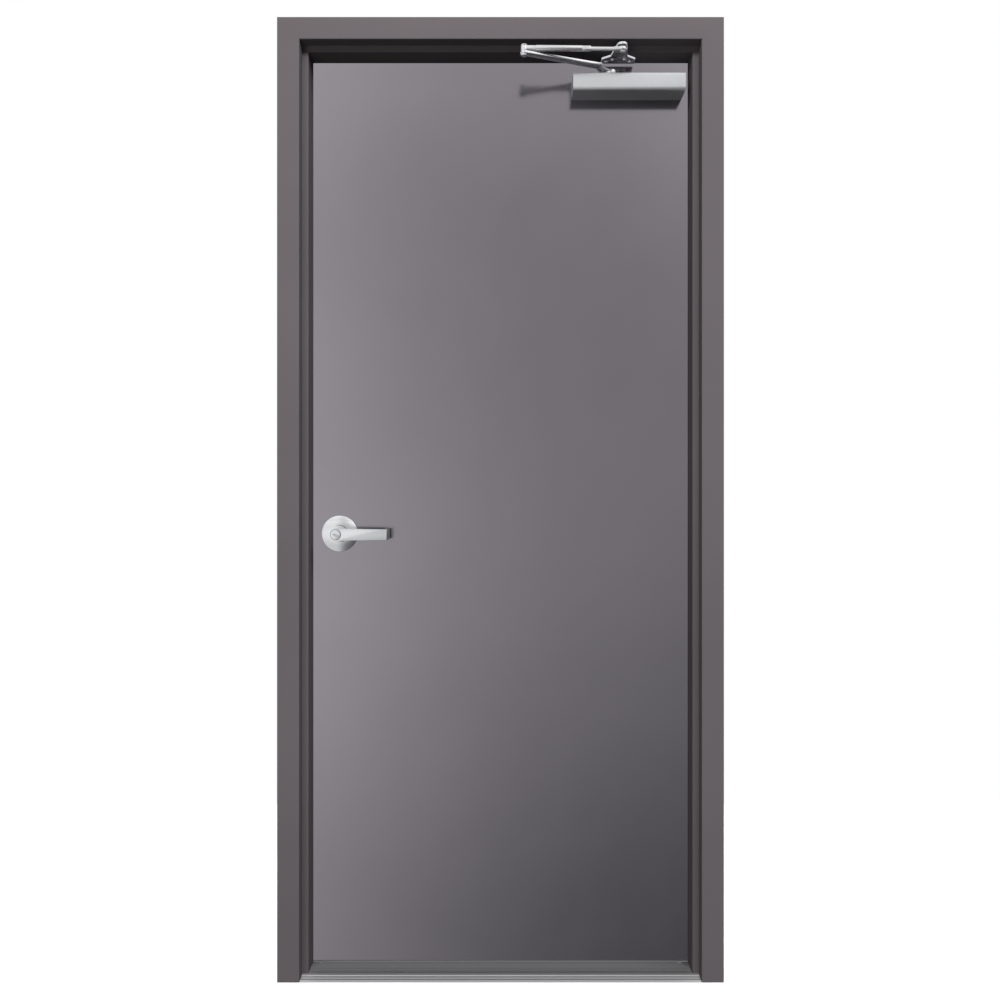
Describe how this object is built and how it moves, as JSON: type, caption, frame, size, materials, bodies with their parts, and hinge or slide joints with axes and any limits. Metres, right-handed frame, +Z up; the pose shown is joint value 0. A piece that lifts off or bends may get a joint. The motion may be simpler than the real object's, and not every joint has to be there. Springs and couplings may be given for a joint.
{
  "type": "single flush steel door in a pressed-steel frame",
  "caption": "Flush steel door leaf hung on three butt hinges in a pressed-steel frame, with a lever lock, an overhead closer and a fluted threshold.",
  "frame": {"origin": "on the floor under the threshold, in the middle of the opening's width and of the frame's depth", "axes": "+X from the lock side to the hinge side, +Y through the doorway from the push face to the pull face, +Z up"},
  "size_m": [1.016, 0.2363, 2.1944],
  "materials": {
    "frame_paint": "satin",
    "leaf_paint": "satin",
    "bare_steel": "matte",
    "honeycomb": "matte",
    "mill_aluminium": "satin",
    "satin_steel": "satin",
    "grey_rubber": "matte",
    "satin_chrome": "satin",
    "closer_finish": "satin",
    "arm_steel": "satin"
  },
  "bodies": {
    "frame": {"hinge_jamb": "frame_paint", "strike_jamb": "frame_paint", "head": "frame_paint", "threshold": "mill_aluminium", "hinge_jamb_anchor": "bare_steel", "strike_jamb_anchor": "bare_steel", "frame_hinge_reinforcements": "bare_steel", "frame_hinge_bottom": "satin_steel", "frame_hinge_middle": "satin_steel", "frame_hinge_top": "satin_steel", "strike_plate": "satin_steel", "strike_box": "bare_steel", "silencers": "grey_rubber", "arm_bracket": "arm_steel"},
    "leaf": {"push_skin": "leaf_paint", "pull_skin": "leaf_paint", "core": "honeycomb", "top_channel": "leaf_paint", "bottom_channel": "leaf_paint", "leaf_hinge_reinforcements": "bare_steel", "leaf_hinge_bottom": "satin_steel", "leaf_hinge_middle": "satin_steel", "leaf_hinge_top": "satin_steel", "latch_faceplate": "satin_steel", "latch_bolt": "satin_steel", "lock_chassis": "bare_steel", "rose_push": "satin_chrome", "rose_pull": "satin_chrome", "lever_pull": "satin_chrome", "turn_button": "satin_chrome", "closer_body": "closer_finish", "closer_cover": "closer_finish"},
    "lever": {"lever_push": "satin_chrome", "key_cylinder": "satin_chrome"},
    "closer_arm": {"main_arm": "arm_steel", "pinion": "arm_steel", "elbow_pin": "arm_steel"},
    "closer_forearm": {"forearm_sleeve": "arm_steel", "forearm_nut": "arm_steel", "forearm_rod": "arm_steel", "pivot_bolt": "arm_steel"}
  },
  "joints": [
    {"name": "door_swing", "type": "hinge", "parent": "frame", "child": "leaf", "pos_m": [0.4547, 0.08123, 1.1], "axis": [0, 0, -1], "range_deg": [0, 110], "stiffness_Nm_per_rad": 9, "springref_deg": -28.65},
    {"name": "lever_turn", "type": "hinge", "parent": "leaf", "child": "lever", "pos_m": [-0.38095, -0.00317, 1.016], "axis": [0, 1, 0], "range_deg": [0, 45], "stiffness_Nm_per_rad": 0.8, "springref_deg": -17.19},
    {"name": "arm_turn", "type": "hinge", "parent": "leaf", "child": "closer_arm", "pos_m": [0.256, -0.00797, 2.085], "axis": [0, 0, 1], "range_deg": [0, 136]},
    {"name": "forearm_turn", "type": "hinge", "parent": "closer_arm", "child": "closer_forearm", "pos_m": [0.05356, -0.08701, 2.117], "axis": [0, 0, -1], "range_deg": [0, 121.5]}
  ],
  "couplings": [
    {"joint": "arm_turn", "follows": "door_swing", "ratio": 1.234},
    {"joint": "forearm_turn", "follows": "door_swing", "ratio": 1.0998}
  ]
}
